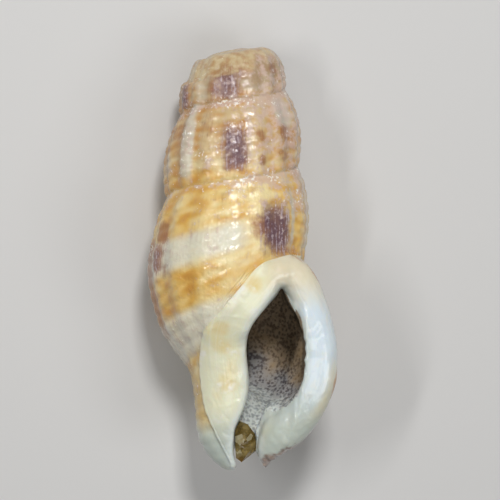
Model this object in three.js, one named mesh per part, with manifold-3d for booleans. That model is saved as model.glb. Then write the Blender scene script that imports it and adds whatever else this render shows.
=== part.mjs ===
// A truncated whelk shell (Caducifer truncata), lying on its back with the aperture up, and the
// amber sand grain that is stuck in its siphonal canal. Millimetres, Z up.
// The shell is worked out in its own frame and then laid down. In that frame x is to the right, y is
// the height up the coil axis from the canal's tip, and z points out of the aperture. Angles run
// round the axis from x (0 degrees) to z (90 degrees), which is also the way the shell grows.
import * as THREE from "three";
import { ConvexGeometry } from "three/addons/geometries/ConvexGeometry.js";
import { mergeVertices } from "three/addons/utils/BufferGeometryUtils.js";
import Module from "manifold-3d";

const wasm = await Module();
wasm.setup();
const { clamp, lerp, smoothstep, degToRad } = THREE.MathUtils;

// Driving dimensions
const RIBS_PER_WHORL = 16;
const CORDS_PER_WHORL = 8;
const CORDS_ON_BASE = 14;
const RIB_HEIGHT = 0.1;
const CORD_DEPTH = 0.045;
const CALLUS_HEIGHT = 0.06;
const WHORL_BULGE = 0.27;
const LIP_ANGLE = 39.375;

// How finely the coiled surface is cut up
const COLUMNS = 48;
const ROWS_PER_CORD = 2;
const SPIRE_WHORLS = 3;

// The suture, where each whorl joins the one before: growth angle (0 is the right-hand side of the
// last whorl, -360 the same side one whorl earlier), height and radius. What lies above 16 mm has
// broken off, and what lies past the lip only spaces the cords.
const SUTURE = [
  [-1440, 18.1, 0.5],
  [-1260, 17.5, 0.7],
  [-1080, 16.8, 0.92],
  [-900, 15.8, 1.2],
  [-720, 14.39, 1.92],
  [-540, 13.38, 1.95],
  [-360, 11.5, 2.4],
  [-180, 10.3, 2.48],
  [0, 7.91, 2.56],
  [40, 8.06, 2.58],
  [180, 6.2, 2.62],
  [400, 4.1, 2.62],
];

// The last whorl at six growth angles, as [height, radius] at the marks below the suture: shoulder,
// periphery, base, neck, canal and tip
const LAST_WHORL = [
  [-320, [9.97, 2.74], [8.66, 2.7], [6.78, 2.47], [5.1, 1.57], [2.66, 0.97], [0.11, 0.3]],
  [-270, [9.67, 2.82], [8.21, 3.0], [6.3, 2.7], [4.53, 1.72], [2.29, 1.05], [0.08, 0.3]],
  [-180, [8.96, 2.9], [7.53, 3.14], [5.3, 2.65], [3.8, 1.66], [1.16, 1.24], [0.04, 0.3]],
  [-90, [7.83, 3.11], [6.22, 3.37], [3.97, 3.0], [2.21, 1.95], [0.86, 1.27], [0.04, 0.37]],
  [0, [6.71, 3.2], [4.91, 3.5], [2.66, 3.24], [1.24, 2.3], [0.6, 1.57], [0.19, 0.97]],
  [40, [6.78, 3.15], [4.91, 3.45], [2.74, 3.1], [1.31, 2.2], [0.6, 1.42], [0.19, 0.9]],
];

// The thick rolled outer lip, from the parietal wall over the top, down the right-hand side and in
// to the canal: centre and radius
const LIP = [
  [0.45, 5.66, 1.75, 0.55],
  [0.97, 6.67, 2.08, 0.62],
  [1.5, 7.4, 2.0, 0.62],
  [2.1, 7.46, 1.7, 0.62],
  [2.55, 7.02, 1.62, 0.62],
  [2.85, 6.29, 1.55, 0.63],
  [3.11, 5.47, 1.44, 0.62],
  [3.28, 4.53, 1.35, 0.62],
  [3.26, 3.67, 1.27, 0.64],
  [2.99, 2.77, 1.2, 0.63],
  [2.57, 2.1, 1.12, 0.66],
  [2.1, 1.54, 1.05, 0.64],
  [1.53, 1.02, 0.92, 0.47],
  [1.27, 0.64, 0.78, 0.32],
  [1.19, 0.31, 0.65, 0.18],
];
const LIP_SIDES = 10;

// The edge of the callus that the animal laid over its own shell beside the aperture, as [y, x] seen
// from the front: to the right of it the ribs and cords are buried
const CALLUS_EDGE = [
  [0.26, -0.11],
  [1.54, -0.75],
  [2.55, -1.12],
  [3.97, -1.27],
  [5.21, -1.12],
  [6.07, -0.41],
  [7.01, 0.37],
  [7.79, 1.09],
  [8.13, 2.1],
];

// The aperture and canal seen from the front, as [x, y], from the aperture's top corner round by the
// outer lip to the canal, and back up the columella
const APERTURE = [
  [1.91, 6.86],
  [2.17, 6.29],
  [2.55, 5.62],
  [2.74, 4.9],
  [2.74, 3.9],
  [2.5, 2.9],
  [1.95, 2.2],
  [1.1, 1.76],
  [0.86, 1.4],
  [0.88, 0.7],
  [1.12, 0.1],
  [1.2, -0.4],
  [0.1, -0.4],
  [0.11, 0.4],
  [0.07, 1.2],
  [0.25, 1.95],
  [0.58, 2.7],
  [0.62, 3.5],
  [0.56, 4.5],
  [0.72, 5.25],
  [1.25, 6.0],
];
const APERTURE_FLOOR = -0.3;
const NOTCH_TOP = 1.05;

// The hollow of the coil behind the aperture: growth angle, then its middle's radius and height and
// its half width and half height
const HOLLOW = [
  [40, 1.8, 4.5, 0.8, 1.7],
  [0, 1.85, 4.5, 1.2, 2.2],
  [-60, 1.85, 5.2, 1.2, 2.3],
  [-120, 1.85, 6.1, 1.1, 2.2],
  [-180, 1.85, 7.0, 1.0, 2.0],
  [-270, 1.82, 8.3, 0.85, 1.7],
  [-360, 1.7, 9.5, 0.7, 1.3],
  [-450, 1.6, 10.7, 0.5, 1.0],
  [-540, 1.4, 11.7, 0.25, 0.4],
];
const HOLLOW_SIDES = 10;
const HOLLOW_STEP = 20;

// The broken apex: a worn cap that slopes down to the left, as [radius, depth below its middle]
const BREAK_TILT = 10.5;
const BREAK_X = -0.05;
const BREAK_HEIGHT = 15.88;
const BREAK_PROFILE = [
  [0, 0],
  [0.7, 0.04],
  [1.05, 0.1],
  [1.25, 0.17],
  [1.42, 0.28],
  [1.58, 0.46],
  [1.72, 0.7],
  [1.85, 1.0],
  [4.5, 1.2],
];
const BREAK_SIDES = 32;

// The corners of the sand grain in the canal
const GRAIN = [
  [0.28, 1.84, 0.1],
  [0.5, 1.72, 0.2],
  [0.13, 1.5, 0.3],
  [0.78, 1.35, 0.32],
  [0.12, 0.95, 0.38],
  [0.82, 1.0, 0.4],
  [0.16, 0.45, 0.28],
  [0.8, 0.7, 0.24],
  [0.37, 0.29, 0.2],
  [0.5, 1.25, 0.6],
  [0.3, 0.9, 0.58],
  [0.56, 0.7, 0.5],
  [0.3, 1.2, -0.12],
  [0.68, 1.0, -0.15],
  [0.4, 0.5, -0.12],
];

// How the shell lies on its back, on two ribs and the edge of the break: turned about its own length
// and then tipped, in degrees, with the ribs worn flat where it rests
const LIE_ROLL = -9.65;
const LIE_PITCH = -9;
const WORN_DEPTH = 0.07;

// A smooth curve through rows of [x, y], without overshoot between them.
function smoothCurve(rows) {
  const slope = rows.slice(1).map(([x, y], i) => (y - rows[i][1]) / (x - rows[i][0]));
  const tangent = rows.map(([x], i) => {
    if (i === 0) return slope[0];
    if (i === rows.length - 1) return slope[i - 1];
    if (slope[i - 1] * slope[i] <= 0) return 0;
    const before = x - rows[i - 1][0];
    const after = rows[i + 1][0] - x;
    const a = 2 * after + before;
    const b = after + 2 * before;
    return (a + b) / (a / slope[i - 1] + b / slope[i]);
  });
  return (x) => {
    let i = 0;
    while (i < rows.length - 2 && rows[i + 1][0] < x) i += 1;
    const [x0, y0] = rows[i];
    const [x1, y1] = rows[i + 1];
    const span = x1 - x0;
    const t = clamp((x - x0) / span, 0, 1);
    const keep = (1 - t) * (1 - t);
    return (
      (1 + 2 * t) * keep * y0 +
      t * keep * span * tangent[i] +
      t * t * (3 - 2 * t) * y1 +
      t * t * (t - 1) * span * tangent[i + 1]
    );
  };
}

// A smooth curve for each column of a table whose first column is the key.
function smoothColumns(table) {
  return table[0].slice(1).map((_, c) => smoothCurve(table.map((row) => [row[0], row[c + 1]])));
}

const [sutureHeight, sutureRadius] = smoothColumns(SUTURE);
const whorlMarks = LAST_WHORL[0].slice(1).map((_, mark) =>
  [0, 1].map((part) => smoothCurve(LAST_WHORL.map((row) => [row[0], row[mark + 1][part]]))),
);
const callusEdgeX = smoothCurve(CALLUS_EDGE);

// The radius of a spire whorl, a share of the way down from its suture to the next one.
function spireRadius(angle, share) {
  const between = lerp(sutureRadius(angle), sutureRadius(angle + 360), share);
  return between + WHORL_BULGE * Math.sin(Math.PI * share);
}

// The outline of the last whorl at a growth angle, as a curve of radius over height.
function lastWhorlOutline(angle) {
  const marks = whorlMarks.map(([height, radius]) => [height(angle), radius(angle)]);
  return smoothCurve([[sutureHeight(angle), sutureRadius(angle)], ...marks].reverse());
}

// Ribs and cords: how far the surface stands out, cords below the suture.
function sculpture(angle, cords, height) {
  const onWhorl = smoothstep(cords, 0, 1.5) * (1 - smoothstep(cords, 9, 15));
  const beforeLip = 1 - smoothstep(angle, -15, 0);
  const rib = 0.5 + 0.5 * Math.cos(degToRad(RIBS_PER_WHORL * (angle - 90)));
  const groove = 0.5 + 0.5 * Math.cos(2 * Math.PI * cords);
  const nearTip = smoothstep(height, 0.3, 1.2);
  return RIB_HEIGHT * rib * onWhorl * beforeLip - CORD_DEPTH * groove * beforeLip * nearTip;
}

// A point of the shell's outer surface in the shell's own frame.
function surfacePoint(angle, radius, height, cords) {
  const turn = degToRad(angle);
  const underCallus =
    Math.sin(turn) > 0 && height < 8.1 && radius * Math.cos(turn) > callusEdgeX(height);
  const raised = underCallus ? CALLUS_HEIGHT : sculpture(angle, cords, height);
  const r = radius + raised;
  return new THREE.Vector3(r * Math.cos(turn), height, r * Math.sin(turn));
}

// The solid of a closed mesh.
function solidOf(geometry) {
  const bare = new THREE.BufferGeometry();
  bare.setAttribute("position", geometry.getAttribute("position"));
  bare.setIndex(geometry.getIndex());
  const merged = mergeVertices(bare, 1e-4);
  return new wasm.Manifold(
    new wasm.Mesh({
      numProp: 3,
      vertProperties: merged.getAttribute("position").array,
      triVerts: new Uint32Array(merged.getIndex().array),
    }),
  );
}

function geometryFrom(points, triangles) {
  return new THREE.BufferGeometry().setFromPoints(points).setIndex(triangles);
}

// A solid whose skin runs through rings of equally many points, closed by a point at each end.
function ringSolid(rings, start, end) {
  const sides = rings[0].length;
  const points = [...rings.flat(), start, end];
  const triangles = [];
  for (let k = 0; k < sides; k += 1) {
    const next = (k + 1) % sides;
    triangles.push(points.length - 2, next, k);
    const last = (rings.length - 1) * sides;
    triangles.push(points.length - 1, last + k, last + next);
    for (let i = 0; i + 1 < rings.length; i += 1) {
      const [a, b] = [i * sides, (i + 1) * sides];
      triangles.push(a + k, a + next, b + k, b + k, a + next, b + next);
    }
  }
  return solidOf(geometryFrom(points, triangles));
}

// The coiled outside of the shell as one solid, with a flat face where the last whorl ends.
// Column 0 lies at the lip's angle, one whorl before the lip, and the last column at the lip.
function coil() {
  const spireRows = CORDS_PER_WHORL * ROWS_PER_CORD;
  const lastRows = spireRows + CORDS_ON_BASE * ROWS_PER_CORD;
  const points = [];
  const triangles = [];
  const index = new Map();

  // The vertex at a column, whorls back from the last one, and a row below that whorl's suture
  function vertex(column, back, row) {
    if (column === COLUMNS && back > 0) return vertex(0, back - 1, row);
    if (back > 0 && row === spireRows) return vertex(column, back - 1, 0);
    if (column === COLUMNS && row === 0) return vertex(0, 0, spireRows);
    const key = `${column} ${back} ${row}`;
    if (!index.has(key)) {
      const angle = LIP_ANGLE - 360 + (360 * column) / COLUMNS - 360 * back;
      index.set(key, points.push(pointAt(angle, row)) - 1);
    }
    return index.get(key);
  }

  function pointAt(angle, row) {
    const cords = row / ROWS_PER_CORD;
    const share = Math.min(row / spireRows, 1);
    const spireHeight = lerp(sutureHeight(angle), sutureHeight(angle + 360), share);
    if (angle < LIP_ANGLE - 360 - 1e-6) {
      return surfacePoint(angle, spireRadius(angle, share), spireHeight, cords);
    }
    const tip = whorlMarks.at(-1)[0](angle);
    const below = clamp((row - spireRows) / (lastRows - spireRows), 0, 1);
    const height = lerp(spireHeight, tip, below);
    return surfacePoint(angle, lastWhorlOutline(angle)(height), height, cords);
  }

  for (let column = 0; column < COLUMNS; column += 1) {
    for (let back = 0; back <= SPIRE_WHORLS; back += 1) {
      const rows = back === 0 ? lastRows : spireRows;
      for (let row = 0; row < rows; row += 1) {
        const a = vertex(column, back, row);
        const b = vertex(column + 1, back, row);
        const c = vertex(column, back, row + 1);
        const d = vertex(column + 1, back, row + 1);
        triangles.push(a, b, c, c, b, d);
      }
    }
  }

  // The apex and the tip are closed by a point on the axis
  const apex = points.push(new THREE.Vector3(0, SUTURE[0][1] + 0.3, 0)) - 1;
  const tip = points.push(new THREE.Vector3(0, 0, 0)) - 1;
  for (let column = 0; column < COLUMNS; column += 1) {
    triangles.push(apex, vertex(column + 1, SPIRE_WHORLS, 0), vertex(column, SPIRE_WHORLS, 0));
    triangles.push(tip, vertex(column, 0, lastRows), vertex(column + 1, 0, lastRows));
  }
  for (let row = 0; row < spireRows; row += 1) {
    triangles.push(apex, vertex(0, SPIRE_WHORLS, row), vertex(0, SPIRE_WHORLS, row + 1));
  }

  // The flat face at the lip's angle, from the outer wall's end in to the whorl before
  const outer = Array.from({ length: lastRows + 1 }, (_, row) => vertex(COLUMNS, 0, row));
  const inner = Array.from({ length: lastRows - spireRows }, (_, i) => vertex(0, 0, lastRows - i));
  const rim = [...outer, tip, ...inner];
  const flat = rim.map((v) => new THREE.Vector2(Math.hypot(points[v].x, points[v].z), points[v].y));
  for (const [a, b, c] of THREE.ShapeUtils.triangulateShape(flat, [])) {
    triangles.push(rim[a], rim[b], rim[c]);
  }
  return solidOf(geometryFrom(points, triangles));
}

// The rolled outer lip: a tube of changing radius along a smooth curve.
function lip() {
  const centres = new THREE.CatmullRomCurve3(LIP.map(([x, y, z]) => new THREE.Vector3(x, y, z)));
  const count = LIP.length;
  const rings = LIP.map(([, , , radius], i) => {
    const t = i / (count - 1);
    const along = centres.getTangent(t);
    const right = new THREE.Vector3(0, 0, 1).cross(along).normalize();
    const out = along.clone().cross(right);
    return Array.from({ length: LIP_SIDES }, (_, k) => {
      const turn = (2 * Math.PI * k) / LIP_SIDES;
      const offset = right.clone().multiplyScalar(Math.cos(turn) * radius);
      return centres.getPoint(t).add(offset).addScaledVector(out, Math.sin(turn) * radius);
    });
  });
  const ends = [0, 1].map((t) => {
    const radius = LIP[t * (count - 1)][3];
    return centres.getPoint(t).addScaledVector(centres.getTangent(t), (t - 0.5) * radius);
  });
  return ringSolid(rings, ...ends);
}

// The hollow that winds back inside the coil from the aperture.
function hollow() {
  const [middle, height, halfWidth, halfHeight] = smoothColumns([...HOLLOW].reverse());
  const [first, last] = [HOLLOW[0][0], HOLLOW.at(-1)[0]];
  const at = (angle, radius, y) =>
    new THREE.Vector3(radius * Math.cos(degToRad(angle)), y, radius * Math.sin(degToRad(angle)));
  const rings = [];
  for (let angle = last; angle <= first; angle += HOLLOW_STEP) {
    rings.push(
      Array.from({ length: HOLLOW_SIDES }, (_, k) => {
        const turn = (2 * Math.PI * k) / HOLLOW_SIDES;
        const radius = middle(angle) + halfWidth(angle) * Math.cos(turn);
        return at(angle, radius, height(angle) + halfHeight(angle) * Math.sin(turn));
      }),
    );
  }
  return ringSolid(
    rings,
    at(last, middle(last), height(last)),
    at(first, middle(first), height(first)),
  );
}

// A prism along z with the outline [x, y], from one depth to another.
function prism(outline, from, to) {
  const shape = new THREE.Shape(outline.map(([x, y]) => new THREE.Vector2(x, y)));
  const options = { depth: to - from, bevelEnabled: false };
  return solidOf(new THREE.ExtrudeGeometry(shape, options).translate(0, 0, from));
}

// All that has broken off above the apex.
function brokenOff() {
  const profile = BREAK_PROFILE.map(([radius, depth]) => new THREE.Vector2(radius, -depth));
  const top = [new THREE.Vector2(profile.at(-1).x, 4), new THREE.Vector2(0, 4)];
  const cap = new THREE.LatheGeometry([...profile, ...top], BREAK_SIDES);
  return solidOf(cap.rotateZ(degToRad(BREAK_TILT)).translate(BREAK_X, BREAK_HEIGHT, 0));
}

function shellSolid() {
  const opening = prism(APERTURE, APERTURE_FLOOR, 5);
  const notch = prism(
    APERTURE.filter(([, y]) => y < NOTCH_TOP),
    -5,
    5,
  );
  return coil().add(lip()).subtract(opening).subtract(notch).subtract(hollow()).subtract(brokenOff());
}

function geometryOf(solid) {
  const { numProp, vertProperties, triVerts } = solid.getMesh();
  const geometry = new THREE.BufferGeometry();
  const positions = new THREE.InterleavedBuffer(vertProperties, numProp);
  geometry.setAttribute("position", new THREE.InterleavedBufferAttribute(positions, 3, 0));
  geometry.setIndex(new THREE.BufferAttribute(triVerts, 1));
  const plain = geometry.toNonIndexed();
  plain.computeVertexNormals();
  return plain;
}

// The pose at rest: the shell laid down, its middle over the origin and its worn ribs at z = 0.
function lyingDown(geometry) {
  const lying = new THREE.Matrix4()
    .makeRotationX(degToRad(LIE_PITCH))
    .multiply(new THREE.Matrix4().makeRotationY(degToRad(LIE_ROLL)));
  const box = new THREE.Box3().setFromObject(new THREE.Mesh(geometry.clone().applyMatrix4(lying)));
  const middle = box.getCenter(new THREE.Vector3());
  const offset = new THREE.Matrix4().makeTranslation(-middle.x, -middle.y, -box.min.z - WORN_DEPTH);
  return offset.multiply(lying);
}

const whole = geometryOf(shellSolid());
const lying = lyingDown(whole);
const ground = new THREE.BoxGeometry(30, 30, 5).translate(0, 0, -2.5);
const worn = solidOf(whole.applyMatrix4(lying)).subtract(solidOf(ground));

const shell = new THREE.Mesh(
  geometryOf(worn),
  new THREE.MeshStandardMaterial({ color: 0xd9bd86, roughness: 0.4, metalness: 0 }),
);
shell.name = "shell";

const corners = GRAIN.map((corner) => new THREE.Vector3(...corner).applyMatrix4(lying));
const grain = new THREE.Mesh(
  new ConvexGeometry(corners),
  new THREE.MeshStandardMaterial({ color: 0x8a6a2c, roughness: 0.25, metalness: 0 }),
);
grain.name = "canal_grain";

const part = new THREE.Group();
part.add(shell, grain);
export default part;
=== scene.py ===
"""A truncated whelk shell lying on its back, with an amber sand grain stuck in its siphonal canal.

The shell is shaped in its own frame, in millimetres: x to the right, y up the coil axis from the
canal's tip, z out of the aperture. Its surface is the zero level of one distance field: the coil,
the rolled lip and the columella joined with fillets, less the aperture, the canal and the hollow.
Growth angles run round the axis from x to z: 0 is the right-hand side of the last whorl, -360 the
same side one whorl earlier.
"""

import math

import bmesh
import bpy
import numpy as np
import openvdb
from mathutils import Matrix, Vector


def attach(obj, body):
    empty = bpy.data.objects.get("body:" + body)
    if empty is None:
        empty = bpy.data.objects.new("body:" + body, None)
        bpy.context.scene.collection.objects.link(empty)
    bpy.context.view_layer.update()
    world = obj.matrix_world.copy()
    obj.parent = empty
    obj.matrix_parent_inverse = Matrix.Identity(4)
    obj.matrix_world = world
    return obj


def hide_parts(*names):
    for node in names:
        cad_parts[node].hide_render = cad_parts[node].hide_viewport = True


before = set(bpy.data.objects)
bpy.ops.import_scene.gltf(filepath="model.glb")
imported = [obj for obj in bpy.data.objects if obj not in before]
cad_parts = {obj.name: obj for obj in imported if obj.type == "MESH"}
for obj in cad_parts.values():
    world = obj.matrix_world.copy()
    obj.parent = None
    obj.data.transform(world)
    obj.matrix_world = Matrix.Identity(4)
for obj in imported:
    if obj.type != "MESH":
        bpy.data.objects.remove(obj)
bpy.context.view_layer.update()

MM = 0.001

# The grid that the shell's distance field is sampled on (mm)
FINE_VOXEL = 0.085
VOXEL = FINE_VOXEL
FIELD_BOX = ((-3.8, 4.2), (-0.4, 16.4), (-3.8, 3.6))

# How the shell lies: its own frame turned about its length, tipped, and moved (mm)
LIE_ROLL = -9.65
LIE_PITCH = -9.0
LIE_SHIFT = (-0.2262, -7.9193, 4.3239)

# The camera looks straight into the aperture: the middle of its view in the shell's own frame, and
# the height of what it sees there (mm)
VIEW_CENTRE = (0.637, 8.28, 0.9)
VIEW_HEIGHT = 18.74
CAMERA_DISTANCE = 150.0
SENSOR_WIDTH = 36.0

# Studio lights: name, place (m), size along y and along x (m), power (W)
LIGHTS = [
    ("key", (-0.005, 0.064, 0.1), (0.02, 0.02), 0.08),
    ("left", (-0.072, 0.02, 0.1), (0.05, 0.006), 0.035),
    ("fill", (0.07, -0.02, 0.1), (0.05, 0.05), 0.025),
    ("front", (0.0, -0.03, 0.12), (0.06, 0.06), 0.018),
]
SKY_COLOUR = (0.9, 0.93, 1.0, 1)
SKY_STRENGTH = 0.06
FLOOR_SIZE = 0.6

# Sculpture: counts, heights (mm), and the lip's growth angle and a former lip's spread (degrees)
RIBS_PER_WHORL = 16
CORDS_PER_WHORL = 8
CORDS_ON_BASE = 14
RIB_HEIGHT = 0.1
CORD_DEPTH = 0.035
CALLUS_HEIGHT = 0.09
WHORL_BULGE = 0.27
LIP_ANGLE = 39.375
VARIX_HEIGHT = 0.08
VARIX_SPREAD = 7.0
TOOTH_HEIGHT = 0.05
TOOTH_SPACING = 0.42
CHIP_DEPTH = 0.025
TIP_BOTTOM = 0.1

# Where the ribs fade in and out by cord, and where ribs and cords end: by growth angle before the
# lip, and by height above the tip
RIBBED_CORDS = (0, 1.5, 9, 15)
RIBS_BEFORE_LIP = (-15, 0)
CORDS_BEFORE_LIP = (-15, 5)
CORDS_NEAR_TIP = (0.3, 1.0)

# The worn side: the growth angle of its middle, how far from there the wear fades (degrees), the
# cords past which there is none, and how much of the sculpture it takes
WORN_MIDDLE = -275
WORN_ON_LAST = (25, 60)
WORN_ON_OLDER = (15, 50)
OLDER_THAN = -400
WORN_CORDS = (9, 14)
WEAR_OF_OLD_WHORLS = 0.6
WEAR_OF_RIBS = 0.5
WEAR_OF_CORDS = 0.7

# How widely the joins between the forms are rounded (mm)
INNER_LIP_FILLET = 0.4
BODY_FILLET = 0.2
BODY_FILLET_IN_FRONT = 0.3
PILLAR_FILLET = 0.3
TROUGH_FILLET = 0.4
HOLLOW_FILLET = 0.5
OPENING_FILLET = 0.16
OPENING_FILLET_LOW = 0.3
BREAK_FILLET = 0.08

# Straight pieces that the lip's tube and the smaller ones are divided into
LIP_PIECES = 40
TUBE_PIECES = 20

# Forms further off than their regions (least x, greatest y, least z) are left at this distance
FAR = 5.0
LIP_REGION = (-1.8, 8.6, -1.5)
TROUGH_REGION = (-1, 6, -2.5)

# The suture: growth angle, height, radius
SUTURE = [
    (-1440, 18.1, 0.5),
    (-1260, 17.5, 0.7),
    (-1080, 16.8, 0.92),
    (-900, 15.8, 1.2),
    (-720, 14.39, 1.92),
    (-540, 13.38, 1.95),
    (-360, 11.5, 2.4),
    (-180, 10.3, 2.48),
    (0, 7.91, 2.56),
    (40, 8.06, 2.58),
    (180, 6.2, 2.62),
    (400, 4.1, 2.62),
]

# The last whorl: growth angle, then (height, radius) of shoulder, periphery, base, neck, canal, tip
LAST_WHORL = [
    (-320, (9.97, 2.74), (8.66, 2.7), (6.78, 2.47), (5.1, 1.57), (2.66, 0.97), (0.11, 0.3)),
    (-270, (9.67, 2.82), (8.21, 3.0), (6.3, 2.7), (4.53, 1.72), (2.29, 1.05), (0.08, 0.3)),
    (-180, (8.96, 2.9), (7.53, 3.14), (5.3, 2.65), (3.8, 1.66), (1.16, 1.24), (0.04, 0.3)),
    (-90, (7.83, 3.11), (6.22, 3.37), (3.97, 3.0), (2.21, 1.95), (0.86, 1.27), (0.04, 0.37)),
    (0, (6.71, 3.2), (4.91, 3.5), (2.66, 3.24), (1.24, 2.3), (0.6, 1.57), (0.19, 0.97)),
    (40, (6.78, 3.15), (4.91, 3.45), (2.74, 3.1), (1.31, 2.2), (0.6, 1.42), (0.19, 0.9)),
]

# The rolled lip, the thickening on its inner side and the columella's pillar: centre and radius
LIP = [
    (0.45, 5.66, 1.75, 0.55),
    (0.97, 6.67, 2.08, 0.62),
    (1.5, 7.4, 2.0, 0.62),
    (2.1, 7.46, 1.7, 0.62),
    (2.55, 7.02, 1.62, 0.62),
    (2.85, 6.29, 1.55, 0.63),
    (3.11, 5.47, 1.44, 0.62),
    (3.28, 4.53, 1.35, 0.62),
    (3.26, 3.67, 1.27, 0.64),
    (2.99, 2.77, 1.2, 0.63),
    (2.57, 2.1, 1.12, 0.66),
    (2.1, 1.54, 1.05, 0.64),
    (1.53, 1.02, 0.92, 0.47),
    (1.27, 0.64, 0.78, 0.32),
    (1.19, 0.31, 0.65, 0.18),
]
INNER_LIP = [
    (1.35, 1.05, 0.8, 0.36),
    (1.6, 1.6, 0.93, 0.5),
    (2.0, 2.15, 1.1, 0.58),
    (2.35, 2.75, 1.25, 0.6),
    (2.6, 3.4, 1.35, 0.55),
    (2.75, 4.2, 1.4, 0.5),
]
PILLAR = [
    (-0.1, 5.6, 1.3, 0.8),
    (-0.3, 4.53, 0.72, 0.9),
    (-0.26, 2.66, 0.3, 0.82),
    (-0.6, 1.54, 0.08, 0.67),
    (-0.47, 0.85, 0.05, 0.53),
    (-0.22, 0.42, 0.0, 0.34),
    (-0.07, 0.2, 0.0, 0.22),
]

# Where the last whorl's own colour comes up to the lip's outer margin, seen from the front
RIM_Y = (0.5, 1.5, 2.4, 3.5, 4.5, 5.6, 6.2, 7.0, 7.6, 8.0)
RIM_X = (1.9, 3.1, 3.6, 3.8, 4.1, 3.95, 3.6, 3.25, 2.85, 2.3)

# The callus's edge, as (y, x) seen from the front
CALLUS_EDGE = [
    (0.26, -0.11),
    (1.54, -0.75),
    (2.55, -1.12),
    (3.97, -1.27),
    (5.21, -1.12),
    (6.07, -0.41),
    (7.01, 0.37),
    (7.79, 1.09),
    (8.13, 2.1),
]
CALLUS_BOTTOM = CALLUS_EDGE[0][0]
CALLUS_TOP = CALLUS_EDGE[-1][0]

# The aperture and canal seen from the front, as (x, y), from the top corner round by the lip
APERTURE = [
    (1.82, 6.85),
    (1.97, 6.53),
    (2.14, 6.19),
    (2.37, 5.85),
    (2.63, 5.16),
    (2.72, 4.64),
    (2.69, 4.07),
    (2.61, 3.5),
    (2.4, 3.04),
    (2.03, 2.58),
    (1.46, 2.17),
    (0.96, 1.82),
    (0.8, 1.55),
    (0.86, 1.2),
    (0.86, 0.75),
    (0.95, 0.5),
    (1.17, 0.12),
    (1.35, -0.6),
    (0.2, -0.6),
    (0.14, 0.1),
    (0.04, 0.5),
    (0.03, 0.95),
    (0.07, 1.5),
    (0.25, 1.95),
    (0.42, 2.35),
    (0.56, 2.85),
    (0.61, 3.35),
    (0.56, 3.85),
    (0.51, 4.45),
    (0.55, 5.0),
    (0.71, 5.44),
    (1.0, 5.85),
    (1.34, 6.25),
    (1.62, 6.56),
]
APERTURE_STEPS = 6

# The opening's floor: its z at the notch, then its rises as (from y, to y, rise)
NOTCH_FLOOR = -3.4
FLOOR_RISES = [(0.5, 0.95, 3.2), (1.0, 1.9, 0.5), (2.6, 4.2, -1.7)]

# The lower inner edge of the lip, by x and y, leans into the opening below its crest
LIP_LEAN = 0.7
LIP_CREST = 1.4
LOW_LIP_X = (0.9, 1.3)
LOW_LIP_Y = (1.4, 1.9, 2.6, 3.6)

# Where the teeth stand on the lip's inner edge, by x and y
TEETH_X = (1.8, 2.2)
TEETH_Y = (3.6, 4.2, 5.2, 5.8)

# The trough that leads from the hollow down to the canal: centre and radius
TROUGH = [
    (0.48, 0.9, 0.12, 0.3),
    (0.52, 1.6, 0.2, 0.38),
    (0.9, 2.3, 0.0, 0.62),
    (1.3, 3.1, -0.3, 0.88),
    (1.5, 4.0, -0.7, 1.0),
]

# The hollow of the coil: growth angle, radius and height of its middle, half width, half height
HOLLOW = [
    (-540, 1.4, 11.7, 0.3, 0.5),
    (-450, 1.6, 10.7, 0.6, 1.1),
    (-360, 1.7, 9.5, 0.8, 1.4),
    (-270, 1.82, 8.3, 0.92, 1.8),
    (-180, 1.85, 7.0, 1.05, 2.1),
    (-120, 1.85, 6.1, 1.15, 2.3),
    (-60, 1.85, 5.2, 1.25, 2.4),
    (0, 1.85, 4.5, 1.28, 2.3),
    (30, 1.8, 4.5, 0.8, 1.6),
]

# The broken apex: its tilt (degrees), its place, and its profile as (radius, depth)
BREAK_TILT = 10.5
BREAK_X = -0.05
BREAK_HEIGHT = 15.88
BREAK_PROFILE = [
    (0, 0),
    (0.7, 0.04),
    (1.05, 0.1),
    (1.25, 0.17),
    (1.42, 0.28),
    (1.58, 0.46),
    (1.72, 0.7),
    (1.85, 1.0),
    (4.5, 1.2),
]
# Its ragged edge, as waves round it, phase and depth, and the spiral of the whorls inside
BREAK_WAVES = [(5, 1, 0.05), (11, 0, 0.035), (23, 0, 0.02)]
BREAK_SPIRAL_PITCH = 0.75
BREAK_SPIRAL_DEPTH = 0.06
BREAK_DIP = 0.04
BREAK_STEEPNESS = 0.75

# Corners of the sand grain
GRAIN = [
    (0.28, 1.84, 0.1),
    (0.5, 1.72, 0.2),
    (0.13, 1.5, 0.3),
    (0.78, 1.35, 0.32),
    (0.12, 0.95, 0.38),
    (0.82, 1.0, 0.4),
    (0.16, 0.45, 0.28),
    (0.8, 0.7, 0.24),
    (0.37, 0.29, 0.2),
    (0.5, 1.25, 0.6),
    (0.3, 0.9, 0.58),
    (0.56, 0.7, 0.5),
    (0.3, 1.2, -0.12),
    (0.68, 1.0, -0.15),
    (0.4, 0.5, -0.12),
]
# The grain is wedged in: it touches the canal's walls, where the solid keeps a gap (mm)
GRAIN_MIDDLE = 0.45
GRAIN_SPREAD = 0.05

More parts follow.
